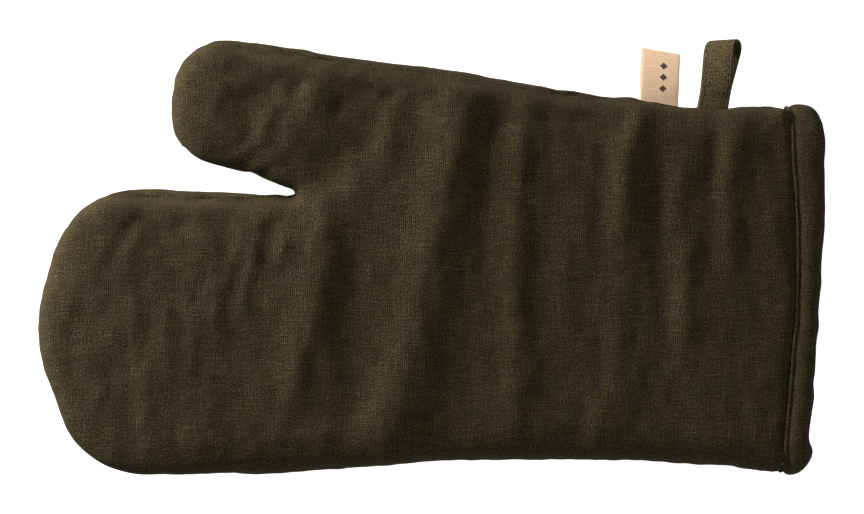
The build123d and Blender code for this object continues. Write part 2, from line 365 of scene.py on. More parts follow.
@dataclass(frozen=True)
class WovenCloth:
    """Plain-woven linen and cotton, piece dyed and washed: uneven yarns that round over each other.

    Sizes are in mm. pitch is from yarn to yarn, and turn how far the weave is turned, in degrees. The rows
    wander by up to wander over a stretch of drift. warp_slub and weft_slub are the width and the length of
    a thick place in a yarn, nap the fibre ends, patch the worn places and crumple the creases of washing.
    relief and wrinkle are the depths of weave and creases. The speckle sets how far the colour varies from
    fibre
    to fibre: partly uneven dye, partly a painted highlight where the fibre ends stand up in the bump.
    """

    name: str
    warp: str
    weft: str
    faded: str
    pitch: float = 0.74
    turn: float = 0.0
    relief: float = 0.16
    wrinkle: float = 0.5
    drift: float = 50 / 3
    wander: float = 2.2
    warp_slub: tuple[float, float] = (2 / 3, 12.5)
    weft_slub: tuple[float, float] = (5 / 6, 100 / 11)
    nap: float = 2 / 3
    patch: float = 25 / 3
    crumple: float = 100 / 19
    speckle_and_highlight: float = 0.85
    roughness: float = 0.86
    sheen: float = 0.12

    def material(self) -> bpy.types.Material:
        """Builds the cloth.

        The yarns of the real cloth lie 0.6 mm apart, which is too fine to show, so they are drawn at pitch.

        Returns:
            The material, reading the cloth's own UV map in metres.
        """
        made, tree, shader = new_material(self.name)
        cloth = add_node(tree, "ShaderNodeUVMap", uv_map="cloth")
        lie = add_node(
            tree,
            "ShaderNodeMapping",
            {"Vector": cloth.outputs["UV"], "Rotation": (0, 0, math.radians(self.turn))},
        )
        # A slow drift of the yarns, so that the rows wander as a washed cloth's do.
        drift = add_node(
            tree, "ShaderNodeTexNoise", {"Vector": lie.outputs[0], "Scale": per(self.drift), "Detail": 1.0}
        )
        wander = add_node(
            tree,
            "ShaderNodeVectorMath",
            {
                0: drift.outputs["Color"],
                1: (self.wander * MM, self.wander * MM, 0.0),
                2: lie.outputs[0],
            },
            operation="MULTIPLY_ADD",
        )
        axes = add_node(tree, "ShaderNodeSeparateXYZ", {0: wander.outputs[0]})
        waves = []
        for axis in (0, 1):
            turns = add_node(
                tree,
                "ShaderNodeMath",
                {0: axes.outputs[axis], 1: math.pi / (self.pitch * MM)},
                operation="MULTIPLY",
            )
            waves.append(add_node(tree, "ShaderNodeMath", {0: turns.outputs[0]}, operation="SINE"))
        over = add_node(
            tree, "ShaderNodeMath", {0: waves[0].outputs[0], 1: waves[1].outputs[0]}, operation="MULTIPLY"
        )
        bump_of = add_node(tree, "ShaderNodeMath", {0: over.outputs[0]}, operation="ABSOLUTE")
        # Slubs: each yarn is thicker and paler for some way, warp along V and weft along U.
        slubs = []
        for size in (self.warp_slub, self.weft_slub[::-1]):
            scale = (per(size[0]), per(size[1]), 1.0)
            stretched = add_node(
                tree, "ShaderNodeMapping", {"Vector": wander.outputs[0], "Scale": scale}, vector_type="POINT"
            )
            slubs.append(
                add_node(
                    tree,
                    "ShaderNodeTexNoise",
                    {"Vector": stretched.outputs[0], "Scale": 1.0, "Detail": 2.0, "Roughness": 0.6},
                )
            )
        which = add_node(
            tree,
            "ShaderNodeMapRange",
            {"Value": over.outputs[0], "From Min": -0.35, "From Max": 0.35},
        )
        yarn = add_node(
            tree,
            "ShaderNodeMix",
            {
                "Factor": which.outputs[0],
                "A": slubs[1].outputs["Fac"],
                "B": slubs[0].outputs["Fac"],
            },
            data_type="FLOAT",
        )
        dyed = add_node(
            tree,
            "ShaderNodeMix",
            {"Factor": which.outputs[0], 6: linear(self.weft), 7: linear(self.warp)},
            data_type="RGBA",
        )
        # Nap: fibre ends that catch the light, finer than a yarn.
        nap = add_node(
            tree,
            "ShaderNodeTexNoise",
            {"Vector": cloth.outputs["UV"], "Scale": per(self.nap), "Detail": 2.0},
        )
        pale = add_node(
            tree, "ShaderNodeMapRange", {"Value": yarn.outputs[0], "From Min": 0.4, "From Max": 0.66}
        )
        patch = add_node(
            tree,
            "ShaderNodeTexNoise",
            {"Vector": cloth.outputs["UV"], "Scale": per(self.patch), "Detail": 3.0},
        )
        worn = add_node(
            tree,
            "ShaderNodeMath",
            {0: pale.outputs[0], 1: patch.outputs["Fac"]},
            operation="MULTIPLY",
        )
        washed = add_node(
            tree,
            "ShaderNodeMix",
            {"Factor": worn.outputs[0], 6: dyed.outputs[2], 7: linear(self.faded)},
            data_type="RGBA",
        )
        # Painted shade: the colour falls to 0.42 of itself in the low places between the yarns.
        gap = add_node(
            tree,
            "ShaderNodeMapRange",
            {"Value": bump_of.outputs[0], "From Min": 0.0, "From Max": 0.55, "To Min": 0.42, "To Max": 1.0},
        )
        # Speckle: partly uneven dye, partly a painted highlight, brightest where the nap lifts the fibre
        # ends.
        speckle_and_highlight = add_node(
            tree,
            "ShaderNodeMapRange",
            {
                "Value": nap.outputs["Fac"],
                "From Min": 0.32,
                "From Max": 0.68,
                "To Min": 1 - self.speckle_and_highlight,
                "To Max": 1 + self.speckle_and_highlight,
            },
        )
        # Painted shade between the yarns, times the speckle of uneven dye and painted highlight.
        shade_highlight_and_speckle = add_node(
            tree, "ShaderNodeMath", {0: gap.outputs[0], 1: speckle_and_highlight.outputs[0]}, operation="MULTIPLY"
        )
        colour = add_node(
            tree,
            "ShaderNodeMix",
            {"Factor": 1.0, 6: washed.outputs[2], 7: shade_highlight_and_speckle.outputs[0]},
            data_type="RGBA",
            blend_type="MULTIPLY",
        )
        crumple = add_node(
            tree,
            "ShaderNodeTexNoise",
            {
                "Vector": cloth.outputs["UV"],
                "Scale": per(self.crumple),
                "Detail": 3.0,
                "Roughness": 0.55,
            },
        )
        soft = add_node(
            tree,
            "ShaderNodeBump",
            {"Height": crumple.outputs["Fac"], "Distance": self.wrinkle * MM, "Strength": 1.0},
        )
        thick = add_node(
            tree,
            "ShaderNodeMath",
            {0: yarn.outputs[0], 1: 0.7, 2: bump_of.outputs[0]},
            operation="MULTIPLY_ADD",
        )
        rough = add_node(
            tree,
            "ShaderNodeMath",
            {0: nap.outputs["Fac"], 1: 2.2, 2: thick.outputs[0]},
            operation="MULTIPLY_ADD",
        )
        weave = add_node(
            tree,
            "ShaderNodeBump",
            {
                "Height": rough.outputs[0],
                "Distance": self.relief * MM,
                "Strength": 1.0,
                "Normal": soft.outputs[0],
            },
        )
        feed(
            tree,
            shader,
            {
                "Base Color": colour.outputs[2],
                "Normal": weave.outputs[0],
                "Roughness": self.roughness,
                "Specular IOR Level": 0.25,
                "Sheen Weight": self.sheen,
                "Sheen Roughness": 0.45,
                "Sheen Tint": linear(self.faded),
            },
        )
        return made


@dataclass(frozen=True)
class SatinRibbon:
    """Woven polyester satin: a smooth, faintly ribbed face with a soft shine, and a small woven figure.

    rib is from rib to rib, and streak the width and the length of the yarns' faint streaks. The figure is
    a row of diamonds, figure_step apart between figure_from and figure_to, figure_size from middle to point
    and figure_across off the ribbon's middle, all in mm.
    """

    name: str = "satin_ribbon"
    ground: str = "#EDD1B8"
    figure: str = "#4A3A2C"
    rib: float = 0.5
    streak: tuple[float, float] = (2 / 3, 6.25)
    figure_from: float = 2.0
    figure_to: float = 16.7
    figure_step: float = 4.9
    figure_size: float = 1.7
    figure_across: float = 1.2
    figure_blur: float = 0.25

    def material(self) -> bpy.types.Material:
        """Builds the ribbon, with a row of small diamonds on its front face.

        Returns:
            The material, reading the ribbon's UV map in metres: U across it and V along it.
        """
        made, tree, shader = new_material(self.name)
        cloth = add_node(tree, "ShaderNodeUVMap", uv_map="cloth")
        axes = add_node(tree, "ShaderNodeSeparateXYZ", {0: cloth.outputs["UV"]})
        ribs = add_node(
            tree,
            "ShaderNodeMath",
            {0: axes.outputs[1], 1: 2 * math.pi / (self.rib * MM)},
            operation="MULTIPLY",
        )
        rib = add_node(tree, "ShaderNodeMath", {0: ribs.outputs[0]}, operation="SINE")
        # Diamonds: the distance along and across from the middle of each step, added up.
        along = add_node(
            tree,
            "ShaderNodeMath",
            {0: axes.outputs[1], 1: self.figure_step / 2 * MM},
            operation="PINGPONG",
        )
        across = add_node(
            tree,
            "ShaderNodeMath",
            {0: axes.outputs[0], 1: self.figure_across * MM},
            operation="SUBTRACT",
        )
        aside = add_node(tree, "ShaderNodeMath", {0: across.outputs[0]}, operation="ABSOLUTE")
        reach = add_node(
            tree, "ShaderNodeMath", {0: along.outputs[0], 1: aside.outputs[0]}, operation="ADD"
        )
        inside = add_node(
            tree,
            "ShaderNodeMapRange",
            {
                "Value": reach.outputs[0],
                "From Min": self.figure_size * MM,
                "From Max": (self.figure_size - self.figure_blur) * MM,
            },
        )
        middle = add_node(
            tree,
            "ShaderNodeMath",
            {0: axes.outputs[1], 1: (self.figure_from + self.figure_to) / 2 * MM},
            operation="SUBTRACT",
        )
        away = add_node(tree, "ShaderNodeMath", {0: middle.outputs[0]}, operation="ABSOLUTE")
        shown = add_node(
            tree,
            "ShaderNodeMath",
            {0: away.outputs[0], 1: (self.figure_to - self.figure_from) / 2 * MM},
            operation="LESS_THAN",
        )
        mask = add_node(
            tree, "ShaderNodeMath", {0: inside.outputs[0], 1: shown.outputs[0]}, operation="MULTIPLY"
        )
        streak = add_node(
            tree,
            "ShaderNodeMapping",
            {"Vector": cloth.outputs["UV"], "Scale": (per(self.streak[1]), per(self.streak[0]), 1.0)},
        )
        uneven = add_node(tree, "ShaderNodeTexNoise", {"Vector": streak.outputs[0], "Scale": 1.0})
        shade = add_node(
            tree,
            "ShaderNodeMapRange",
            {
                "Value": uneven.outputs["Fac"],
                "From Min": 0.3,
                "From Max": 0.7,
                "To Min": 0.86,
                "To Max": 1.0,
            },
        )
        ground = add_node(
            tree,
            "ShaderNodeMix",
            {"Factor": 1.0, 6: linear(self.ground), 7: shade.outputs[0]},
            data_type="RGBA",
            blend_type="MULTIPLY",
        )
        colour = add_node(
            tree,
            "ShaderNodeMix",
            {"Factor": mask.outputs[0], 6: ground.outputs[2], 7: linear(self.figure)},
            data_type="RGBA",
        )
        height = add_node(
            tree,
            "ShaderNodeMath",
            {0: mask.outputs[0], 1: 1.6, 2: rib.outputs[0]},
            operation="MULTIPLY_ADD",
        )
        relief = add_node(
            tree,
            "ShaderNodeBump",
            {"Height": height.outputs[0], "Distance": 0.03 * MM, "Strength": 0.8},
        )
        feed(
            tree,
            shader,
            {
                "Base Color": colour.outputs[2],
                "Normal": relief.outputs[0],
                "Roughness": 0.42,
                "Specular IOR Level": 0.45,
                "Sheen Weight": 0.4,
            },
        )
        return made


@dataclass(frozen=True)
class SpunThread:
    """Spun polyester sewing thread: three fine plies twisted together, matt with a slight fuzz."""

    name: str
    colour: str
    shadow: str
    twist: float = 0.55
    fuzz: float = 5 / 9

    def material(self) -> bpy.types.Material:
        """Builds the thread, its plies as slanting bands, twist mm from one to the next.

        Returns:
            The material, reading Object coordinates.
        """
        made, tree, shader = new_material(self.name)
        place = add_node(tree, "ShaderNodeTexCoord")
        plies = add_node(
            tree,
            "ShaderNodeTexWave",
            {"Vector": place.outputs["Object"], "Scale": WAVE_SCALE * per(self.twist), "Distortion": 1.5},
            bands_direction="DIAGONAL",
        )
        fuzz = add_node(
            tree, "ShaderNodeTexNoise", {"Vector": place.outputs["Object"], "Scale": per(self.fuzz)}
        )
        mix = add_node(
            tree, "ShaderNodeMath", {0: plies.outputs["Fac"], 1: fuzz.outputs["Fac"]}, operation="MULTIPLY"
        )
        colour = add_node(
            tree,
            "ShaderNodeMix",
            {"Factor": mix.outputs[0], 6: linear(self.shadow), 7: linear(self.colour)},
            data_type="RGBA",
        )
        relief = add_node(
            tree, "ShaderNodeBump", {"Height": plies.outputs["Fac"], "Distance": 0.06 * MM, "Strength": 0.8}
        )
        feed(
            tree,
            shader,
            {
                "Base Color": colour.outputs[2],
                "Normal": relief.outputs[0],
                "Roughness": 0.7,
                "Sheen Weight": 0.2,
            },
        )
        return made


@dataclass(frozen=True)
class Wadding:
    """Needled cotton wadding, undyed: matted fibres with soft pits where the needles went in."""

    name: str = "needled_cotton_wadding"
    fibre: str = "#DCD8CC"
    hollow_shade: str = "#B4AE9E"
    tuft: float = 10 / 7
    needle_gap: float = 20 / 7

    def material(self) -> bpy.types.Material:
        """Builds the wadding from a matted noise and the needles' pits.

        Returns:
            The material, reading Object coordinates.
        """
        made, tree, shader = new_material(self.name)
        place = add_node(tree, "ShaderNodeTexCoord")
        matted = add_node(
            tree,
            "ShaderNodeTexNoise",
            {
                "Vector": place.outputs["Object"],
                "Scale": per(self.tuft),
                "Detail": 4.0,
                "Distortion": 1.0,
            },
        )
        pits = add_node(
            tree, "ShaderNodeTexVoronoi", {"Vector": place.outputs["Object"], "Scale": per(self.needle_gap)}
        )
        # Painted shade: the darker colour lies where the matted noise is low, the low places of its bump.
        colour = add_node(
            tree,
            "ShaderNodeMix",
            {"Factor": matted.outputs["Fac"], 6: linear(self.hollow_shade), 7: linear(self.fibre)},
            data_type="RGBA",
        )
        height = add_node(
            tree, "ShaderNodeMath", {0: matted.outputs["Fac"], 1: pits.outputs["Distance"]}, operation="ADD"
        )
        relief = add_node(
            tree, "ShaderNodeBump", {"Height": height.outputs[0], "Distance": 0.4 * MM, "Strength": 0.7}
        )
        feed(
            tree,
            shader,
            {
                "Base Color": colour.outputs[2],
                "Normal": relief.outputs[0],
                "Roughness": 0.95,
                "Sheen Weight": 0.3,
            },
        )
        return made


@dataclass(frozen=True)
class PaperFloor:
    """Matt white paper, with a tooth too fine to see as more than a soft surface."""

    name: str = "matt_paper"
    colour: str = "#F4F4F2"

    def material(self) -> bpy.types.Material:
        """Builds the paper.

        Returns:
            The material, one plain colour.
        """
        made, tree, shader = new_material(self.name)
        feed(tree, shader, {"Base Color": linear(self.colour), "Roughness": 0.95, "Specular IOR Level": 0.1})
        return made


# --------------------------------------------------------------------------- the padded form


class Side(Enum):
    """Which of the mitt's two walls: its number is the sign of Z from the seam."""

    FRONT = 1
    BACK = -1


@dataclass(frozen=True)
class Fold:
    """One soft fold that runs along a line on a wall.

    height is how far it stands out, or lies in if it is less than 0, and width is how far from the line
    it has fallen to about a third. Its ends ease in over ease, or over half of a short fold.
    """

    line: Line
    width: float
    height: float
    ease: float = 18.0

    def rise(self, places: Array) -> Array:
        """How far the fold lifts each place on the wall.

        Args:
            places: (X, Y) of each place, in mm.

        Returns:
            The lift at each, in mm.
        """
        nearest, way, past = np.full(len(places), 1e9), np.zeros(len(places)), 0.0
        for start, end in zip(self.line, self.line[1:]):
            a, b = np.array(start), np.array(end)
            run, length = b - a, math.dist(start, end)
            t = np.clip((places - a) @ run / length**2, 0, 1)
            gap = np.linalg.norm(places - a - t[:, None] * run, axis=1)
            way = np.where(gap < nearest, past + t * length, way)
            nearest = np.minimum(nearest, gap)
            past += length
        ease = min(self.ease, past / 2)
        ends = smoothstep(way, -ease / 2, ease) * smoothstep(past - way, -ease / 2, ease)
        return self.height * ends * bell(nearest, 0, self.width)


# Folds of the front wall, thumb side first. Most run across the mitt, because it bends along its length.
FRONT_FOLDS: tuple[Fold, ...] = (
    Fold(((13, 76), (8, 44), (3, 20), (-1, 0), (-5, -20), (-11, -45), (-18, -64), (-25, -84)), 10.5, 3.4),
    Fold(((41, 72), (34, 39), (33, 0), (33, -40), (30, -78)), 5.5, 1.9),
    Fold(((27, 64), (21, 39), (20, 0), (18, -39), (14, -66)), 5.0, -0.9),
    Fold(((87, 68), (77, 41), (76, 20), (75, 2)), 6.0, 2.5),
    Fold(((75, 0), (73, -40), (72, -66)), 7.0, 0.9),
    Fold(((59, 45), (57, 0), (56, -45)), 8.0, 0.8),
    Fold(((101, 48), (98, 20), (100, -10), (100, -40)), 5.5, 1.8),
    Fold(((123, 62), (119, 39), (117, 15), (118, -14)), 5.0, 1.6),
    Fold(((92, 44), (90, 10), (92, -36)), 4.0, -0.8),
    Fold(((114, 60), (112, 39), (110, 15), (110, -8)), 3.5, -1.1),
    Fold(((-44, 20), (-44, 0), (-47, -18), (-53, -39), (-61, -64)), 7.0, 2.3),
    Fold(((-55, 16), (-56, -8), (-60, -30)), 9.0, 1.4),
    Fold(((-32, 16), (-34, -20), (-32, -39), (-37, -64)), 6.0, -0.7),
    Fold(((-32, -46), (-36, -68)), 5.0, -1.6),
    Fold(((-67, 21), (-71, 6), (-80, -26)), 3.0, 1.1),
    Fold(((-60, 20), (-61, 6), (-67, -20)), 2.8, 1.0),
    Fold(((-74, 19), (-78, 4), (-88, -24)), 3.0, 0.8),
    Fold(((-58, 24), (-46, 34), (-32, 46), (-20, 60)), 9.0, -1.7),
    Fold(((-24, 36), (-16, 62)), 8.0, 1.0),
    Fold(((-46, 82), (-54, 72), (-60, 62)), 4.5, -0.7),
    Fold(((-34, 80), (-48, 67), (-61, 55), (-74, 47)), 8.0, 1.5),
    Fold(((61, -60), (66, -80)), 2.6, 0.6),
    Fold(((68, -58), (73, -80)), 2.6, 0.6),
    Fold(((-120, -10), (-110, -55)), 14.0, 0.8),
)

# The back wall lay on the table, so its folds are fewer and flatter.
BACK_FOLDS: tuple[Fold, ...] = (
    Fold(((18, 64), (10, 30), (6, -10), (-6, -50), (-14, -76)), 9.0, 1.3),
    Fold(((52, 62), (47, 20), (48, -30), (44, -70)), 7.5, 1.0),
    Fold(((92, 58), (88, 20), (90, -20), (86, -60)), 7.0, 1.1),
    Fold(((120, 50), (118, 10), (121, -30)), 6.0, 0.7),
    Fold(((-40, 16), (-44, -20), (-52, -58)), 7.0, 1.2),
    Fold(((-57, 26), (-42, 38), (-34, 54)), 5.5, -1.2),
    Fold(((-48, 80), (-58, 60)), 4.0, -0.7),
    Fold(((-72, 18), (-77, -4)), 3.0, 0.5),
)


@dataclass
class Wall:
    """One wall of the form as a sheet with no thickness.

    rim is 0 at the seam and 1 on the flat, seam_gap the way from the seam over the surface, around the
    place along the seam, low_side 1 on the little-finger side, and ditch_gap the way to the cuff's ditch,
    less than 0 under the binding. seam lists the points on the seam, in order.
    """

    side: Side
    points: Array
    normals: Array
    uv: Array
    rim: Array
    seam_gap: Array
    around: Array
    low_side: Array
    ditch_gap: Array
    faces: list
    seam: Array


@dataclass
class MittForm:
    """The rounded form that every layer follows, traced from the frame's own front panel.

    inset is how far the rim's round reaches in from the seam, and rim_way the way over it. The rings in
    rim_steps lie close to the seam, where it creases. roll is how far the seam leans to the front where
    the back shows past it, in degrees. ditch_line gives (Y, X) along the ditch beside the binding, and
    the walls go on under the binding by tuck. The outline is traced up to panel_end, in steps of
    outline_step. Stations on it are closer where it turns, by bend_weight, and over square_over at each
    end their rings turn square to the cuff. The net's rows are row_share of its spacing apart, and it
    keeps clear_share of it from its border.
    """

    panel: bpy.types.Object
    inset: float = 14.0
    rim_way: float = 23.6
    rim_steps: tuple[float, ...] = (0.0, 0.6, 1.3, 2.2)
    roll: float = 25.0
    crease: float = 1.2
    swell: float = 0.9
    square: float = 1.6
    pucker: float = 8.0
    tuck: float = 2.6
    panel_end: float = 140.5
    outline_step: float = 0.25
    bend_weight: float = 8.0
    square_over: float = 12.0
    row_share: float = 0.866
    clear_share: float = 0.6
    ditch_line: Line = (
        (-92, 140.4), (-85, 140.0), (-75, 140.0), (-52, 142.2),
        (-18, 145.0), (15, 144.9), (40, 143.2), (66, 142.4),
    )
    seam_z: float = field(init=False)
    half: float = field(init=False)
    outline: Array = field(init=False)
    thumb_end: float = field(init=False)
    little_end: float = field(init=False)

    def __post_init__(self) -> None:
        """Reads the panel's height and outline from the frame."""
        low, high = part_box("shell_front")
        self.seam_z = low.z / MM
        self.half = (high.z - low.z) / MM
        across = np.arange(-120, 100, 1.0)
        line = np.array(self.ditch_line)
        self._ditch = (across, blur(np.interp(across, line[:, 0], line[:, 1]), 5))
        self.outline = self._trace(self.panel)
        ends = self.outline[[0, -1], 1]
        self.thumb_end, self.little_end = float(ends[0]), float(ends[1])

    def ditch(self, y: Array) -> Array:
        """Where the ditch beside the binding lies at each Y."""
        return np.interp(y, *self._ditch)

    def _trace(self, panel: bpy.types.Object) -> Array:
        """Follows the panel's outline on the seam plane, and carries it on to under the binding.

        Args:
            panel: the CAD front panel, whose cut edge lies on the seam plane.

        Returns:
            Points close together, from the thumb side of the cuff round to its other side.
        """
        places = np.array([v.co for v in panel.data.vertices]) / MM
        keys: dict[tuple[float, float], int] = {}
        number = [keys.setdefault((round(x, 3), round(y, 3)), len(keys)) for x, y, _ in places]
        on_plane = np.abs(places[:, 2] - self.seam_z) < 0.02
        edges = set()
        for face in panel.data.polygons:
            corners = list(face.vertices)
            if all(on_plane[c] for c in corners):
                for a, b in zip(corners, corners[1:] + corners[:1]):
                    edges.add((number[a], number[b]))
        where = {n: k for k, n in keys.items()}
        follow = {
            a: b
            for a, b in edges
            if (b, a) not in edges and max(where[a][0], where[b][0]) < self.panel_end
        }
        chains = []
        for start in set(follow) - set(follow.values()):
            chain = [start]
            while chain[-1] in follow:
                chain.append(follow[chain[-1]])
            chains.append(np.array([where[n] for n in chain]))
        outline = max(chains, key=lambda c: np.ptp(c[:, 1]) + np.ptp(c[:, 0]))
        if outline[0, 1] < outline[-1, 1]:
            outline = outline[::-1]
        low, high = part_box("cuff_binding")
        ends = [np.array((self.ditch(y) + out, y)) for y in (high.y / MM, low.y / MM) for out in (12, 2)]
        outline = np.vstack((ends[0], ends[1], outline, ends[3], ends[2]))
        way = ways(outline)
        at = np.linspace(0, way[-1], int(way[-1] / self.outline_step) + 1)
        fine = blur(picked(outline, way, at), 6)
        return fine[fine[:, 0] <= self.ditch(fine[:, 1]) + self.tuck]

    def stations(self, spacing: float) -> tuple[Array, Array, Array]:
        """Places along the seam, closer where it turns.

        Args:
            spacing: how far apart they are on a straight stretch.

        Returns:
            Their points, their inward directions and their ways along the seam.
        """
        fine = self.outline
        run = unit(np.gradient(fine, axis=0))
        inward = np.column_stack((-run[:, 1], run[:, 0]))
        step = np.concatenate(([0], np.linalg.norm(np.diff(fine, axis=0), axis=1)))
        turn = np.concatenate(([0], np.linalg.norm(np.diff(blur(run, 3), axis=0), axis=1)))
        weight = np.cumsum(step + self.bend_weight * turn)
        way = np.cumsum(step)
        at = np.interp(np.linspace(0, weight[-1], int(weight[-1] / spacing) + 1), weight, way)
        toward = unit(picked(blur(inward, 4), way, at))
        # Towards each end the rings turn square to the cuff.
        for order in (slice(None), slice(None, None, -1)):
            share = 1 - smoothstep(np.abs(at[order] - at[order][0]), 0, self.square_over)
            square = np.array((0.0, np.sign(toward[order][0][1])))
            toward[order] = toward[order] * (1 - share[:, None]) + square * share[:, None]
        return picked(fine, way, at), unit(toward), at

    def seam_turn(self, points: Array, toward: Array) -> Array:
        """How far the seam has rolled towards the front at each place.

        Args:
            points: places along the seam.
            toward: the inward direction at each.

        Returns:
            The roll round the rim, in radians.
        """
        x, y = points.T
        upper = toward[:, 1] < -0.45
        thumb = smoothstep(x, -93, -78) * (1 - smoothstep(x, 56, 78)) * (upper & (y > 42))
        finger = smoothstep(x, -146, -125) * (1 - smoothstep(x, -66, -57)) * (upper & (y < 40))
        lower = -0.2 * (toward[:, 1] > 0.4)
        return blur(math.radians(self.roll) * (1.4 * thumb + finger) + lower, 5)

    def fullness(self, wall: Wall) -> Array:
        """How far the stuffing pushes the rims out, most below the palm and on the thumb's outer side.

        Args:
            wall: the smooth wall.

        Returns:
            The push at each point, in mm.
        """
        x, y = wall.points[:, 0], wall.points[:, 1]
        palm = smoothstep(x, -90, -60) * (1 - smoothstep(x, 95, 125))
        low = wall.low_side * (y < 0) * (0.2 + 1.5 * palm)
        top = (y > 45) * smoothstep(x, -75, -45) * (1 - smoothstep(x, 25, 55))
        # Less beside the label, on top of the finger pocket and at its lower tip.
        flatter = (y > 45) * smoothstep(x, 78, 108)
        flatter = flatter + 0.7 * (y > 10) * (y < 45) * (1 - smoothstep(x, -90, -60))
        flatter = flatter + 1.1 * (1 - smoothstep(x, -115, -90)) * (1 - smoothstep(y, -72, -40))
        rim = self.swell * bell(wall.seam_gap, 4.5, 5.5) * (1.2 * low + top - 1.2 * flatter)
        # The wadding holds the rim squarer than a round: its shoulder stands out all along the seam.
        shoulder = bell(wall.seam_gap, 13.0, 5.5) * (wall.ditch_gap > 0)
        return rim + self.square * shoulder * (1 + 0.5 * wall.low_side)

    def wall(self, side: Side, spacing: float) -> Wall:
        """Makes one wall: rings from the seam over the rim, and an even net on the flat.

        Args:
            side: front or back.
            spacing: the size of the net.

        Returns:
            The wall.
        """
        places, toward, at = self.stations(spacing)
        count = len(places)
        turn = self.seam_turn(places, toward)
        steps = list(self.rim_steps)
        left = self.rim_way - steps[-1]
        more = max(3, round(left / spacing))
        shares = np.array(steps + [steps[-1] + left * (k + 1) / more for k in range(more)]) / self.rim_way
        rows = []
        for share in shares:
            angle = turn + (side.value * math.pi / 2 - turn) * share
            flat = places + toward * (self.inset * (1 - np.cos(angle)))[:, None]
            for order in (slice(None), slice(None, None, -1)):
                square = self.ditch(flat[order][0, 1]) + self.tuck - flat[order][0, 0]
                fade = 1 - smoothstep(np.arange(count), 0, 9)
                flat[order][:, 0] += square * fade
            z = self.seam_z + self.half * np.sin(angle)
            normal = unit(
                np.column_stack((-toward * (np.cos(angle) / self.inset)[:, None], np.sin(angle) / self.half))
            )
            gap = self.rim_way * share
            spread = places + toward * (self.inset - (self.rim_way - gap))
            rows.append((np.column_stack((flat, z)), normal, spread))
        points, normals, spread = (np.vstack(kind) for kind in zip(*rows))
        rim = np.repeat(shares, count)
        seam_gap = np.repeat(self.rim_way * shares, count)
        around = np.tile(at, len(rows))
        low_side = np.tile(blur((toward[:, 1] > 0.4).astype(float), 4), len(rows))
        faces = [
            (k * count + i, k * count + i + 1, (k + 1) * count + i + 1, (k + 1) * count + i)
            for k in range(len(rows) - 1)
            for i in range(count - 1)
        ]
        inner = np.arange((len(rows) - 1) * count, len(rows) * count)
        loose, net = self._net(points[inner, :2], spacing)
        numbers = np.concatenate((inner, np.arange(len(points), len(points) + len(loose))))
        faces += [tuple(numbers[list(f)]) for f in net]
        top = self.seam_z + side.value * self.half
        points = np.vstack((points, np.column_stack((loose, np.full(len(loose), top)))))
        normals = np.vstack((normals, np.tile((0, 0, side.value), (len(loose), 1))))
        spread = np.vstack((spread, loose))
        rim, seam_gap, around, low_side = (
            np.concatenate((values, np.full(len(loose), flat_value)))
            for values, flat_value in ((rim, 1), (seam_gap, self.rim_way), (around, 0), (low_side, 0))
        )
        if side is Side.BACK:
            faces = [f[::-1] for f in faces]
        return Wall(
            side=side,
            points=points,
            normals=normals,
            uv=spread * MM,
            rim=rim,
            seam_gap=seam_gap,
            around=around,
            low_side=low_side,
            ditch_gap=self.ditch(points[:, 1]) - points[:, 0],
            faces=faces,
            seam=np.arange(count),
        )

    def _net(self, ring: Array, spacing: float) -> tuple[Array, list]:
        """Fills the flat inside a ring with an even net of triangles.

        Args:
            ring: the innermost ring, open at the cuff.
            spacing: the size of the net.

        Returns:
            The new points, and triangles that number the ring's points first and the new ones after.
        """
        low, high = ring[-1, 1], ring[0, 1]
        cuff_y = np.linspace(low, high, max(3, int((high - low) / spacing)))[1:-1]
        cuff = np.column_stack((self.ditch(cuff_y) + self.tuck, cuff_y))
        border = np.vstack((ring, cuff))
        xs = np.arange(border[:, 0].min(), border[:, 0].max(), spacing)
        ys = np.arange(border[:, 1].min(), border[:, 1].max(), spacing * self.row_share)
        grid = np.array([(x + spacing / 2 * (r % 2), y) for r, y in enumerate(ys) for x in xs])
        ends = np.roll(border, -1, axis=0)
        inside = np.zeros(len(grid), bool)
        nearest = np.full(len(grid), 1e9)
        for a, b in zip(border, ends):
            run = b - a
            t = np.clip((grid - a) @ run / max(run @ run, 1e-12), 0, 1)
            nearest = np.minimum(nearest, np.linalg.norm(grid - a - t[:, None] * run, axis=1))
            if a[1] != b[1]:
                crosses = (a[1] > grid[:, 1]) != (b[1] > grid[:, 1])
                inside ^= crosses & (grid[:, 0] < a[0] + (grid[:, 1] - a[1]) * run[0] / run[1])
        grid = grid[inside & (nearest > spacing * self.clear_share)]
        every = np.vstack((border, grid))
        loop = list(range(len(border)))
        found = geometry.delaunay_2d_cdt([Vector(p) for p in every], [], [loop], 1, 1e-6)
        number = [origins[0] for origins in found[3]]
        net = []
        for face in found[2]:
            a, b, c = (number[i] for i in face)
            u, v = every[b] - every[a], every[c] - every[a]
            area = u[0] * v[1] - u[1] * v[0]
            if abs(area) > 1e-9:
                net.append((a, b, c) if area > 0 else (a, c, b))
        return np.vstack((cuff, grid)), net


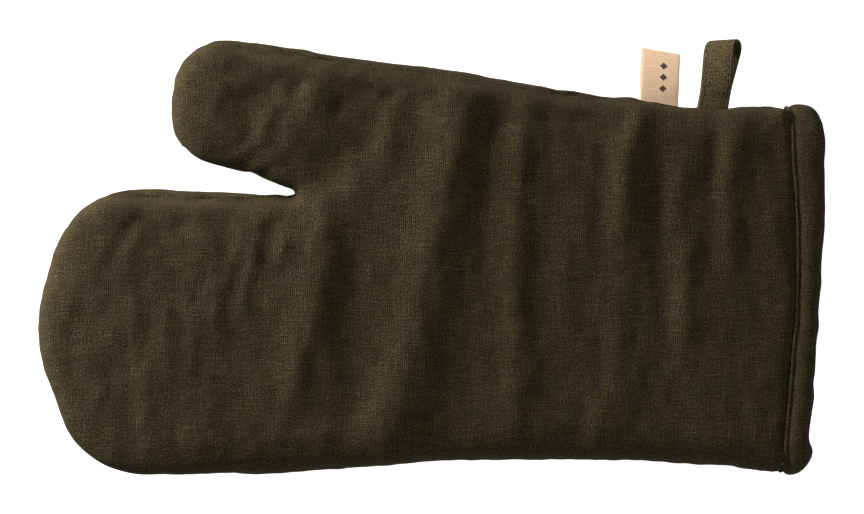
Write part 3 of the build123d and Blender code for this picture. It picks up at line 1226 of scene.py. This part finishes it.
@dataclass
class Billow:
    """How stuffing fills the form out: a cloth bag of the form's shape, blown up a little and let buckle.

    spare is the share of extra cloth that the bag has to buckle with, as a shrinkage less than 0, and cap
    the furthest that the stuffing may move a place, in mm.
    """

    form: MittForm
    spacing: float = 5.0
    pressure: float = 1.6
    weight: float = 0.2
    stretch: float = 12
    shear: float = 4
    bend: float = 0.4
    spare: float = -0.012
    frames: int = 18
    cap: float = 1.0
    tree: BVHTree | None = None
    points: Array = field(init=False)
    triangles: list = field(init=False)
    move: Array = field(init=False)

    def run(self) -> None:
        """Simulates the bag, and keeps how far each of its points moved."""
        walls = [self.form.wall(side, self.spacing) for side in Side]
        shift = len(walls[0].points)
        points = np.vstack([w.points for w in walls])
        # The seam belongs to both walls, so the back's copy of it takes the front's numbers.
        number = np.arange(len(points))
        number[shift + walls[1].seam] = walls[0].seam
        faces = list(walls[0].faces) + [tuple(number[shift + i] for i in f) for f in walls[1].faces]
        bag = make_object("stuffed_bag", points, faces)
        held = np.concatenate([(w.seam_gap < 0.1) | (w.ditch_gap < 1.0) for w in walls])
        pins = bag.vertex_groups.new(name="pins")
        pins.add([int(i) for i in np.nonzero(held)[0]], 1.0, "REPLACE")
        cloth = bag.modifiers.new("cloth", "CLOTH")
        cloth.settings.vertex_group_mass = "pins"
        cloth.settings.quality = 6
        cloth.settings.mass = self.weight
        cloth.settings.tension_stiffness = self.stretch
        cloth.settings.compression_stiffness = self.stretch
        cloth.settings.shear_stiffness = self.shear
        cloth.settings.bending_stiffness = self.bend
        cloth.settings.shrink_min = self.spare
        cloth.settings.use_pressure = True
        cloth.settings.uniform_pressure_force = self.pressure
        cloth.settings.effector_weights.gravity = 0
        cloth.collision_settings.use_collision = False
        cloth.point_cache.frame_start, cloth.point_cache.frame_end = 1, self.frames
        for frame in range(1, self.frames + 1):
            bpy.context.scene.frame_set(frame)
        select_only(bag)
        bpy.ops.object.modifier_apply(modifier="cloth")
        bpy.context.scene.frame_set(1)
        blown = np.array([v.co for v in bag.data.vertices]) / MM
        move = np.nan_to_num(blown - points)
        far = np.linalg.norm(move, axis=1)
        self.move = move * (np.minimum(far, self.cap) / np.maximum(far, 1e-6))[:, None]
        self.points = points
        self.triangles = []
        for corners in (list(map(int, f)) for f in faces):
            self.triangles.append(corners[:3])
            if len(corners) == 4:
                self.triangles.append([corners[0], corners[2], corners[3]])
        self.tree = BVHTree.FromPolygons([Vector(p) for p in points], self.triangles)
        LOG.info("bag: %d points, moved up to %.2f mm", len(points), far.max())
        bpy.data.objects.remove(bag)

    def at(self, places: Array) -> Array:
        """How far the stuffing moves each place on the form.

        Args:
            places: points on the form, in mm.

        Returns:
            The move of each, in mm.
        """
        out = np.zeros_like(places)
        if self.tree is None:
            return out
        axes = (Vector((1, 0, 0)), Vector((0, 1, 0)), Vector((0, 0, 1)))
        for i, place in enumerate(places):
            hit, _, face, _ = self.tree.find_nearest(Vector(place))
            corners = self.triangles[face]
            triangle = (Vector(self.points[n]) for n in corners)
            weights = geometry.barycentric_transform(hit, *triangle, *axes)
            out[i] = sum(weights[k] * self.move[corners[k]] for k in range(3))
        return out


@dataclass
class Relief:
    """What the folds, the sewing and the wear do to the form's smooth surface.

    buckles, crumples and crinkles are each a height and a grain along X, Y and Z, from broad to fine.
    gather is the height of the seam's puckers, and press how deep the sewing at the binding pulls in.
    """

    form: MittForm
    billow: Billow
    buckles: tuple[float, Grain] = (0.9, (17, 60, 40))
    crumples: tuple[float, Grain] = (0.75, (7, 16, 16))
    crinkles: tuple[float, Grain] = (0.3, (3.2, 5.5, 8))
    gather: float = 0.14
    press: float = 1.35

    def surface(self, wall: Wall, depth: float, share: float) -> Array:
        """The wall's points at a depth below its face, with the folds in them.

        Args:
            wall: the smooth wall.
            depth: how far below the outer face, in mm.
            share: how much of the fine creasing reaches this depth, from 0 to 1.

        Returns:
            The points, in mm.
        """
        flat = wall.points[:, :2]
        folds = FRONT_FOLDS if wall.side is Side.FRONT else BACK_FOLDS
        fade = 0.2 + 0.8 * smoothstep(wall.rim, 0.12, 0.9)
        near_cuff = smoothstep(wall.ditch_gap, 1, 16)
        height = sum(fold.rise(flat) for fold in folds) * fade * (0.25 + 0.75 * near_cuff)
        seed = 3.0 * wall.side.value
        # The thumb is stuffed tighter than the palm, so it creases less.
        slack = 1 - 0.65 * smoothstep(flat[:, 1], 30, 48) * (1 - smoothstep(flat[:, 0], -45, -15))
        high, grain = self.buckles
        height += high * ripple(wall.points, grain, seed) * fade * near_cuff * slack
        high, grain = self.crumples
        height += share * high * ripple(wall.points, grain, seed + 11) * fade * slack
        high, grain = self.crinkles
        height += share * high * ripple(wall.points, grain, seed + 23) * fade
        # The seam draws in to a crease, and gathers into small puckers beside it, spaced unevenly.
        crease = -self.form.crease * bell(wall.seam_gap, 0, 1.1)
        gathers = np.sin(wall.around * 2 * math.pi / self.form.pucker + 2.2 * np.sin(wall.around / 23))
        gathers = gathers * (0.6 + 0.4 * np.sin(wall.around / 41 + 1))
        band = bell(wall.seam_gap, 3.6, 2.6) * (wall.rim < 0.999)
        height += crease + share * self.gather * gathers * band
        height += self.form.fullness(wall)
        # Beside the binding every layer is sewn down, the deeper ones over a wider strip.
        pressed_to = 2.6 + 2.6 * min(depth, 1.0)
        height -= self.press * ((1 - smoothstep(wall.ditch_gap, -0.3, pressed_to)) * (1 - depth / 5.6))
        move = self.billow.at(wall.points) * (0.25 + 0.75 * smoothstep(wall.ditch_gap, 0, 8))[:, None]
        made = wall.points + move + wall.normals * (height - depth)[:, None]
        if wall.side is Side.BACK:
            made[:, 2] = above(made[:, 2], depth)
        return made


def closed_layer(name: str, wall: Wall, outer: Array, inner: Array) -> bpy.types.Object:
    """Makes a closed layer between two surfaces of one wall.

    Args:
        name: the piece's name.
        wall: the wall that both surfaces are numbered by.
        outer: the points of its outer face.
        inner: the points of its inner face.

    Returns:
        The layer.
    """
    count = len(outer)
    edges = {(f[i], f[(i + 1) % len(f)]) for f in wall.faces for i in range(len(f))}
    faces = list(wall.faces)
    faces += [tuple(n + count for n in f[::-1]) for f in wall.faces]
    faces += [(b, a, a + count, b + count) for a, b in edges if (b, a) not in edges]
    return make_object(name, np.vstack((outer, inner)), faces, np.vstack((wall.uv, wall.uv)))


# --------------------------------------------------------------------------- stitches


@dataclass
class Stitches:
    """A row of lock stitches: short fat strokes of thread that dip into the cloth at both ends.

    look is how far before and after its middle a stitch reads the seam's direction, in mm.
    """

    pitch: float
    length: float
    radius: float
    look: float = 0.4

    def _stroke(self) -> tuple[Array, list]:
        """Makes one stitch, lying along X.

        Returns:
            Its points in mm, and its faces.
        """
        deselect_all()
        bpy.ops.mesh.primitive_uv_sphere_add(
            segments=8, ring_count=5, radius=1.0, rotation=(0, math.pi / 2, 0)
        )
        ball = bpy.context.object
        bpy.ops.object.transform_apply(location=False, rotation=True, scale=False)
        points = np.array([v.co for v in ball.data.vertices])
        points *= (self.length / 2, self.radius, self.radius)
        faces = [tuple(f.vertices) for f in ball.data.polygons]
        bpy.data.objects.remove(ball)
        return points, faces

    def row(self, name: str, line: Array, normals: Array) -> bpy.types.Object:
        """Sews a row along a line.

        Args:
            name: the piece's name.
            line: points of the seam, close together, in mm.
            normals: which way is out of the cloth at each point.

        Returns:
            All stitches of the row as one piece.
        """
        stroke, stroke_faces = self._stroke()
        way = ways(line)
        at = np.arange(self.pitch / 2, way[-1], self.pitch)
        middle = picked(line, way, at)
        run = unit(picked(line, way, at + self.look) - picked(line, way, at - self.look))
        out = picked(normals, way, at)
        out = unit(out - run * np.sum(run * out, axis=1)[:, None])
        across = np.cross(out, run)
        points, faces = [], []
        for k in range(len(at)):
            faces += [tuple(n + k * len(stroke) for n in f) for f in stroke_faces]
            points.append(middle[k] + stroke @ np.vstack((run[k], across[k], out[k])))
        return make_object(name, np.vstack(points), faces)


# --------------------------------------------------------------------------- the pieces


@dataclass
class PaddedMitt:
    """The mitt's two quilted walls: cloth shell, wadding and lining, each its own piece.

    shell, batting and lining are thicknesses, gap the air between two layers, and fine and coarse the
    spacings of the net that a layer in sight and a hidden one are made on.
    """

    form: MittForm
    relief: Relief
    shell: float = 0.9
    batting: float = 3.95
    lining: float = 0.55
    gap: float = 0.05
    fine: float = 2.2
    coarse: float = 3.6
    pieces: dict = field(default_factory=dict)

    def build(
        self,
        shell_cloth: bpy.types.Material,
        wadding: bpy.types.Material,
        lining_cloth: bpy.types.Material,
    ) -> None:
        """Builds both walls, layer by layer, and dresses them.

        Args:
            shell_cloth: the outer cloth.
            wadding: the filling.
            lining_cloth: the cloth against the hand.
        """
        for side in Side:
            word = side.name.lower()
            wall = self.form.wall(side, self.fine)
            made = closed_layer(
                f"mitt_shell_{word}",
                wall,
                self.relief.surface(wall, 0, 1.0),
                self.relief.surface(wall, self.shell, 0.9),
            )
            self._keep(made, f"shell_{word}", shell_cloth)
            plain = self.form.wall(side, self.coarse)
            top = self.shell + self.gap
            low = top + self.batting
            made = closed_layer(
                f"mitt_batting_{word}",
                plain,
                self.relief.surface(plain, top, 0.8),
                self.relief.surface(plain, low, 0.3),
            )
            self._keep(made, f"batting_{word}", wadding)
            made = closed_layer(
                f"mitt_lining_{word}",
                plain,
                self.relief.surface(plain, low + self.gap, 0.3),
                self.relief.surface(plain, low + self.gap + self.lining, 0.3),
            )
            self._keep(made, f"lining_{word}", lining_cloth)

    def _keep(self, piece: bpy.types.Object, node: str, finish: bpy.types.Material) -> None:
        """Dresses a piece and keeps it by its node."""
        dress(piece, node, finish)
        self.pieces[node] = piece

    def sew(self, thread: bpy.types.Material) -> None:
        """Sews the shell's seam and the lining's seam.

        Args:
            thread: the sewing thread.
        """
        wall = self.form.wall(Side.FRONT, self.fine)
        keep = wall.seam[3:-3]
        for node, depth, stitches in (
            ("shell_seam_thread", 0.05, Stitches(3.0, 2.4, 0.26)),
            ("lining_seam_thread", 4.75, Stitches(3.0, 2.5, 0.3)),
        ):
            line = self.relief.surface(wall, depth, 0.3)[keep]
            row = stitches.row(f"{node}_stitches", line, wall.normals[keep])
            self._keep(row, node, thread)

    def declare(self) -> None:
        """Says what each shell and lining panel was cut to. The shell is drawn over its wadding and the
        lining laid inside it.
        """
        for layer, held in (("shell", "stretched"), ("lining", "laid")):
            for word in ("front", "back"):
                piece = self.pieces[f"{layer}_{word}"]
                flat, area = flat_cut(piece)
                LOG.info("%s cut: %.0f x %.0f mm, %.4f m2", piece.name, flat[0] / MM, flat[1] / MM, area)


@dataclass
class CuffBinding:
    """Tape folded over the mouth's edge and sewn down through all layers, puffed up by the filling in it.

    edge_line gives (Y, X) along the cuff's edge. outer and inner are the tape's two faces in profile, each
    place mm on from the ditch and mm above the form: the front, round the edge and the back. On a tape
    width wide the strip up to sewn is held down, and the rest takes up what the edge line asks for.
    The filling swells the tape unevenly by uneven of its rise, thumb_flat less on the thumb side and
    little_full more on the other. The cloth crinkles over it by crinkle, the thumb side is pressed in by
    thumb_press, and the edge and the ditch wander by edge_wander and ditch_wander.
    """

    form: MittForm
    step: float = 0.9
    width: float = 13.5
    sewn: float = 2.0
    seam_profile: tuple[float, float] = (1.45, -0.36)
    uneven: float = 0.56
    thumb_flat: float = 0.2
    little_full: float = 0.35
    crinkle: float = 0.25
    thumb_press: float = 0.7
    edge_wander: float = 0.5
    ditch_wander: float = 0.35
    edge_line: Line = (
        (-92, 148.6), (-88, 149.4), (-84, 151.6), (-81, 152.6), (-77, 151.2), (-73, 150.2), (-62, 151.8),
        (-52, 152.6), (-18, 154.8), (11, 156.7), (41, 157.0), (54, 156.4), (61, 155.4), (66, 154.0),
    )
    outer: Line = (
        (0.0, -1.3), (-0.1, -0.5), (0.15, 0.1), (0.6, 0.32), (1.05, 0.15), (1.45, -0.4), (1.9, 0.0),
        (2.6, 0.5), (3.6, 0.9), (4.8, 1.1), (6.2, 1.15), (7.8, 1.05), (9.4, 0.75), (10.9, 0.1),
        (12.2, -0.9), (13.1, -2.1), (13.5, -3.4), (13.1, -4.8), (12.2, -6.0), (10.9, -6.8), (9.2, -7.2),
        (7.2, -7.35), (5.2, -7.3), (3.4, -7.0), (2.2, -6.5), (1.2, -6.75), (0.4, -6.75), (0.0, -6.4),
    )
    inner: Line = (
        (0.2, -5.75), (1.2, -5.8), (2.6, -5.9), (4.4, -6.2), (6.6, -6.25), (8.8, -6.1), (10.4, -5.6),
        (11.6, -4.7), (12.1, -3.4), (11.6, -2.2), (10.4, -1.1), (8.8, -0.4), (6.6, -0.05), (4.4, -0.2),
        (2.8, -0.7), (1.4, -1.45),
    )

    def section(self) -> tuple[Array, Array]:
        """Walks round the mouth: front, thumb side, back and little-finger side.

        Returns:
            The (Y, Z) places on the form's surface, step apart, and the outward direction at each.
        """
        form, tip = self.form, self.form.inset
        arc = np.radians(np.arange(90, -91, -3.0))
        aside, up = tip * (1 - np.cos(arc)), form.seam_z + form.half * np.sin(arc)
        top = np.column_stack((form.thumb_end - aside, up))
        low = np.column_stack((form.little_end + aside, up))[::-1]
        corners = np.vstack((top, low, top[:1]))
        way = ways(corners)
        places = picked(corners, way, np.linspace(0, way[-1], int(way[-1] / self.step) + 1)[:-1])
        run = np.roll(places, -1, axis=0) - np.roll(places, 1, axis=0)
        return places, unit(np.column_stack((-run[:, 1], run[:, 0])))

    def edge(self, y: Array) -> Array:
        """Where the cuff's edge lies.

        Args:
            y: places across the cuff, in mm.

        Returns:
            The edge's X at each.
        """
        grid = np.arange(-110, 90, 0.5)
        line = np.array(self.edge_line)
        return np.interp(y, grid, blur(np.interp(grid, line[:, 0], line[:, 1]), 3))

    def place(self, at: Array, out: Array, way: float, rise: float) -> Array:
        """Points round the mouth at one place of the tape's profile.

        Args:
            at: (Y, Z) places on the form.
            out: the outward direction at each.
            way: mm from the ditch towards the edge, on a tape of the class's width.
            rise: mm above the form's surface.

        Returns:
            The points, in mm.
        """
        ditch, edge = self.form.ditch(at[:, 0]), self.edge(at[:, 0])
        share = (edge - ditch - self.sewn) / (self.width - self.sewn)
        x = ditch + (way if way < self.sewn else self.sewn + (way - self.sewn) * share)
        thumb_side = smoothstep(out[:, 0], 0.1, 0.8)
        little_side = smoothstep(-out[:, 0], 0.1, 0.8)
        mouth = np.column_stack((np.zeros(len(at)), at))
        swell = 1 + self.uneven * ripple(mouth, (1, 9, 9), 5.0)
        swell = swell - self.thumb_flat * thumb_side + self.little_full * little_side
        puff = np.where(rise > 0, rise * swell, rise)
        puff = puff + self.crinkle * ripple(mouth, (1, 4.5, 4.5), 9.0) * (self.sewn < way < 12)
        puff = puff - self.thumb_press * thumb_side
        x = x + self.edge_wander * ripple(mouth, (1, 7, 7), 17.0) * (way > 6)
        x = x + self.ditch_wander * ripple(mouth, (1, 11, 11), 31.0)
        y, z = (at + out * puff[:, None]).T
        return np.column_stack((x, y, above(z, 0.0)))

    def join(self) -> tuple[Array, Array]:
        """Finds the tape's slanting join on the front, beside the CAD join's upper end.

        Returns:
            The (X, Y) of its upper and its lower end, in mm.
        """
        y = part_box("binding_join_thread")[1].y / MM
        x = float(self.form.ditch(y)) + 1.8
        run = float(self.edge(y - 8)) - 1.2 - x
        return np.array((x, y)), np.array((x + run, y - run))

    def build(self, tape: bpy.types.Material) -> bpy.types.Object:
        """Builds the tape.

        Args:
            tape: its finish.

        Returns:
            The binding.
        """
        at, out = self.section()
        profile = self.outer + self.inner
        rows = [self.place(at, out, way, rise) for way, rise in profile]
        start, end = self.join()
        cut = (end - start) / np.linalg.norm(end - start)
        beside = np.array((cut[1], -cut[0]))
        on_front = smoothstep(out[:, 1], 0.6, 0.95)
        for row, (_, rise) in zip(rows, profile):
            if rise > -2:
                # The join is a groove with the turned-under end standing up beside it.
                off = (row[:, :2] - start) @ beside
                row[:, 2] += (-0.6 * bell(off, 0, 0.75) + 0.35 * bell(off, 1.8, 1.3)) * on_front
        count = len(at)
        along = np.arange(count) * self.step
        across = ways(np.array(profile))
        uv = np.vstack([np.column_stack((along, np.full(count, w))) for w in across]) * MM
        made = make_object("cuff_binding_tape", np.vstack(rows), tube_faces(len(rows), count, True), uv)
        # The cloth's own coordinates run on where the tape meets itself, round the mouth and the profile.
        corners = made.data.uv_layers["cloth"].data
        for number, face in enumerate(made.data.polygons):
            for corner, vertex in zip(face.loop_indices, face.vertices):
                if number % count == count - 1 and vertex % count == 0:
                    corners[corner].uv.x += count * self.step * MM
                if number // count == len(rows) - 1 and vertex < count:
                    corners[corner].uv.y += (across[-1] + 1) * MM
        turn_outwards(made)
        dress(made, "cuff_binding", tape)
        return made

    def sew(self, tape: bpy.types.Object, thread: bpy.types.Material) -> None:
        """Sews the tape down round the mouth and closes its slanting join.

        Args:
            tape: the binding, not used.
            thread: the sewing thread.
        """
        at, out = self.section()
        line = self.place(at, out, *self.seam_profile)
        line, outward = (np.vstack((rows, rows[:1])) for rows in (line, out))
        normals = np.column_stack((np.zeros(len(outward)), outward))
        rows = [(Stitches(3.1, 2.5, 0.3).row("binding_stitches", line, normals), "binding_thread")]
        count = 30
        share = np.linspace(0.15, 0.8, count)[:, None]
        start, end = self.join()
        join = np.column_stack((start + (end - start) * share, np.full(count, 2 * self.form.half)))
        join[:, 2] += 0.1 + 0.4 * np.sin(np.linspace(0, math.pi, count))
        up = np.tile((0.0, 0.0, 1.0), (count, 1))
        rows.append((Stitches(2.2, 1.7, 0.22).row("join_stitches", join, up), "binding_join_thread"))
        for row, node in rows:
            dress(row, node, thread)


@dataclass
class FoldedTape:
    """A strip folded in half and sewn into the seam by both its ends, standing up beyond the edge.

    eye is half the opening at the fold and root_half half of it at the seam. The strip leans to the cuff
    by lean and turns about itself by twist, in degrees. groove is the depth of the edge stitching, which
    runs edge_in from each edge. slope is how much further one corner of the fold reaches than the other,
    skew how far the back leg stands aside of the front one, short how much less it reaches than its CAD
    solid, shift its move along the seam and tuck the length of each sewn-in end. bend_from and bend_to, mm
    out from the hinge, are not used.
    """

    node: str
    joint: dict
    body: str
    slot: str
    width: float
    thickness: float
    eye: float
    root_half: float
    lean: float
    twist: float
    groove: float = 0.0
    slope: float = 0.0
    shift: float = 0.0
    short: float = 0.0
    skew: float = 0.0
    tuck: float = 4.0
    edge_in: float = 1.7
    bend_from: float = -1.5
    bend_to: float = 4.0
    pieces: list = field(default_factory=list)

    def hinge(self) -> Vector:
        """The middle of the fold line at the seam, in mm."""
        return Vector(self.joint["pos_m"]) / MM

    def reach(self) -> float:
        """How far the strip stands out from its hinge, in mm."""
        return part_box(self.node)[1].y / MM - self.hinge().y - self.short

    def path(self) -> tuple[Array, Array]:
        """The strip's middle line, out on the front and back again.

        Returns:
            (out, up) places, and the direction of the strip's outer face at each.
        """
        reach = self.reach() - self.thickness / 2
        bend = self.eye + self.thickness / 2
        legs = np.linspace(-self.tuck, reach - bend, 34)
        open_up = self.root_half + (bend - self.root_half) * smoothstep(legs, 0.5, reach - bend) ** 0.6
        arc = np.linspace(math.pi / 2, -math.pi / 2, 19)[1:-1]
        out = np.concatenate((legs, reach - bend + bend * np.cos(arc), legs[::-1]))
        up = np.concatenate((open_up, bend * np.sin(arc), -open_up[::-1]))
        line = np.column_stack((out, up))
        run = unit(np.gradient(line, axis=0))
        return line, np.column_stack((-run[:, 1], run[:, 0]))

    def across(self) -> Array:
        """Walks round the strip's cross-section, with its rolled edges.

        Returns:
            The (across, through) places, in mm.
        """
        half, thick = self.width / 2, self.thickness / 2
        inner = half - thick
        us = np.linspace(-inner, inner, 13)
        dent = self.groove * bell(np.abs(us), half - self.edge_in, 0.5)
        top = np.column_stack((us, thick - dent))
        turn = np.radians(np.linspace(60, -60, 5))
        right = np.column_stack((inner + thick * np.cos(turn), thick * np.sin(turn)))
        return np.vstack((top, right, -top, -right))

    def set_in_place(self, u: Array, out: Array, up: Array) -> Array:
        """Moves places on the strip to where it stands.

        Args:
            u: mm across the strip.
            out: mm out from the hinge.
            up: mm towards the front.

        Returns:
            Points in the frame, in mm.
        """
        share = np.clip(out / self.reach(), 0, 1.1)
        turn = np.radians(self.twist) * share**0.8
        aside = self.skew * smoothstep(-up, -self.eye, self.eye) * np.clip(2 * share, 0, 1)
        side = u * np.cos(turn) - up * np.sin(turn) + aside
        lift = u * np.sin(turn) + up * np.cos(turn)
        lean = math.radians(self.lean)
        out = out - self.slope * share * (u / self.width + 0.5)
        hinge = self.hinge()
        x = hinge.x + self.shift + side * math.cos(lean) + out * math.sin(lean)
        y = hinge.y - side * math.sin(lean) * share + out * math.cos(lean)
        return np.column_stack((x, y, hinge.z + lift))

    def build(self, finish: bpy.types.Material) -> bpy.types.Object:
        """Builds the strip.

        Args:
            finish: its material.

        Returns:
            The strip.
        """
        line, face = self.path()
        ring = self.across()
        rows = []
        for (out, up), (fo, fu) in zip(line, face):
            rows.append(self.set_in_place(ring[:, 0], out + fo * ring[:, 1], up + fu * ring[:, 1]))
        count = len(ring)
        faces = tube_faces(len(rows), count, False)
        faces.append(tuple(range(count))[::-1])
        faces.append(tuple((len(rows) - 1) * count + i for i in range(count)))
        along = ways(line) - self.tuck
        uv = np.vstack([np.column_stack((ring[:, 0], np.full(count, way))) for way in along]) * MM
        made = make_object(f"{self.node}_strip", np.vstack(rows), faces, uv)
        turn_outwards(made)
        made.data.materials.append(finish)
        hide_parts(self.node)
        self._bend(made)
        return made

    def edge_stitches(self, node: str, thread: bpy.types.Material) -> bpy.types.Object:
        """Sews along both edges of the strip, on its outer face.

        Args:
            node: the CAD node that the stitches stand for.
            thread: the sewing thread.

        Returns:
            The stitches.
        """
        line, face = self.path()
        keep = line[:, 0] > 0.5
        line, face = line[keep], face[keep]
        rise = self.thickness / 2 - self.groove + 0.08
        rows = []
        for side in (-1, 1):
            u = np.full(len(line), side * (self.width / 2 - self.edge_in))
            at, over = (self.set_in_place(u, *(line + face * up).T) for up in (rise, 2))
            rows.append(Stitches(2.8, 2.2, 0.24).row(f"edge_{side}", at, over - at))
        select_only(rows[0])
        rows[1].select_set(True)
        bpy.ops.object.join()
        made = rows[0]
        made.name = "loop_edge_stitches"
        made.data.materials.append(thread)
        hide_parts(node)
        self._bend(made)
        return made

    def _bend(self, piece: bpy.types.Object) -> None:
        """Bakes a piece's place into its mesh and keeps it with the strip's pieces.

        Args:
            piece: the piece.
        """
        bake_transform(piece)
        self.pieces.append(piece)
        LOG.info("%s: %d faces", piece.name, len(piece.data.polygons))

    def declare(self) -> None:
        """Does nothing: the strip's cut, sewn-in ends included, is not said."""


# --------------------------------------------------------------------------- the studio


@dataclass
class Studio:
    """A pale paper floor, a soft low key from the upper left and an even fill.

    The camera's lens, sensor and view are in mm, the paper's sizes in metres: it is flat out to
    paper_flat and rises by paper_rise times the square of the way beyond.
    """

    lens: float = 100.0
    sensor: float = 36.0
    frame_width: float = 352.2
    view_x: float = -1.26
    view_y: float = -0.45
    level: float = 16.0
    paper_size: float = 14.0
    paper_flat: float = 2.6
    paper_rise: float = 0.16
    paper_drop: float = 0.0002
    paper_wash: float = 3.5
    fill_colour: str = "#F6F0E2"
    fill: float = 0.41
    lamp_colour: str = "#FFF3E2"

    def camera(self) -> None:
        """Hangs the camera straight above the mitt, so that the frame is frame_width wide at its seam."""
        data = bpy.data.cameras.new("camera")
        data.lens = self.lens
        data.sensor_width = self.sensor
        data.clip_start, data.clip_end = 0.01, 50.0
        camera = bpy.data.objects.new("camera", data)
        bpy.context.scene.collection.objects.link(camera)
        away = self.frame_width * self.lens / self.sensor
        camera.location = Vector((self.view_x, self.view_y, self.level + away)) * MM
        bpy.context.scene.camera = camera

    def floor(self) -> None:
        """Lays the paper, flat under the mitt and swept up far away."""
        deselect_all()
        bpy.ops.mesh.primitive_grid_add(x_subdivisions=60, y_subdivisions=60, size=self.paper_size)
        paper = bpy.context.object
        paper.name = "paper_floor"
        for v in paper.data.vertices:
            far = max(0.0, v.co.xy.length - self.paper_flat)
            v.co.z = -self.paper_drop + self.paper_rise * far * far
        paper.data.polygons.foreach_set("use_smooth", [True] * len(paper.data.polygons))
        paper.data.materials.append(PaperFloor().material())
        # Black cards round the mitt in the studio: the paper throws no light back up at its rims.
        paper.visible_diffuse = False
        paper.visible_glossy = False
        wash = bpy.data.lights.new("floor_wash", "SUN")
        wash.energy, wash.angle = self.paper_wash, math.radians(2)
        lamp = bpy.data.objects.new("floor_wash", wash)
        bpy.context.scene.collection.objects.link(lamp)
        lit = bpy.data.collections.new("floor_only")
        lit.objects.link(paper)
        lamp.light_linking.receiver_collection = lit
        lamp.light_linking.blocker_collection = lit

    def _lamp(self, name: str, energy: float, size: float, place: tuple[float, float, float]) -> None:
        """Sets a soft square lamp that shines at the mitt's middle.

        Args:
            name: the lamp's name.
            energy: its power, in watts.
            size: its side, in metres.
            place: where it stands, in metres.
        """
        data = bpy.data.lights.new(name, "AREA")
        data.energy, data.size = energy, size
        data.color = linear(self.lamp_colour)[:3]
        lamp = bpy.data.objects.new(name, data)
        bpy.context.scene.collection.objects.link(lamp)
        lamp.location = place
        aim = Vector((-0.02, 0.0, 0.02)) - lamp.location
        lamp.rotation_euler = aim.to_track_quat("-Z", "Y").to_euler()

    def lights(self) -> None:
        """Sets the key, the low strip beside it and the fill."""
        world = bpy.data.worlds.new("fill")
        world.use_nodes = True
        background = world.node_tree.nodes["Background"]
        feed(world.node_tree, background, {"Color": linear(self.fill_colour), "Strength": self.fill})
        bpy.context.scene.world = world
        self._lamp("key", 11.6, 0.18, (-0.75, 0.42, 0.27))
        # A low strip from the same side only grazes the flat, and picks out the folds and the near rims.
        self._lamp("rim", 7.0, 0.10, (-0.82, 0.40, 0.075))
        bpy.context.scene.view_settings.view_transform = "Standard"


def main() -> None:
    """Builds the mitt in the order that it is sewn, then the studio."""
    logging.basicConfig(level=logging.INFO, format="%(message)s")
    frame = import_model()
    joints = {joint["name"]: joint for joint in frame["joints"]}
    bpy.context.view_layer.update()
    dye = ("#342D1B", "#2B2312", "#5C5334")
    shell_cloth = WovenCloth("washed_linen_shell", *dye).material()
    tape = WovenCloth("linen_bias_tape", *dye, turn=4.0).material()
    loop_tape = WovenCloth("linen_loop_tape", "#574E38", "#483F2A", "#7C7052", pitch=0.7).material()
    lining_cloth = WovenCloth(
        "cotton_lining", "#2E281C", "#272014", "#453C2A", pitch=0.7, relief=0.1
    ).material()
    thread = SpunThread("spun_polyester_thread", "#352E20", "#18130C").material()
    wadding = Wadding().material()
    ribbon = SatinRibbon().material()

    form = MittForm(frame["nodes"]["shell_front"])
    billow = Billow(form)
    billow.run()
    mitt = PaddedMitt(form, Relief(form, billow))
    mitt.build(shell_cloth, wadding, lining_cloth)
    mitt.sew(thread)
    binding = CuffBinding(form)
    binding.sew(binding.build(tape), thread)
    mitt.declare()
    loop = FoldedTape(
        "hanging_loop", joints["loop_swing"], "loop", "loop_tape",
        width=12.8, thickness=1.5, eye=3.6, root_half=0.85, lean=10.0, twist=33.0,
        groove=0.22, slope=-2.0, shift=-1.7, short=1.5,
    )
    loop.build(loop_tape)
    loop.edge_stitches("loop_edge_thread", thread)
    loop.declare()
    label = FoldedTape(
        "label", joints["label_swing"], "label_tab", "label_ribbon",
        width=15.5, thickness=0.4, eye=0.55, root_half=0.5, lean=3.0, twist=10.0,
        slope=2.2, shift=-0.7, skew=-0.7, short=0.3,
    )
    label.build(ribbon)
    label.declare()

    studio = Studio()
    studio.camera()
    studio.floor()
    studio.lights()


if __name__ == "__main__":
    main()
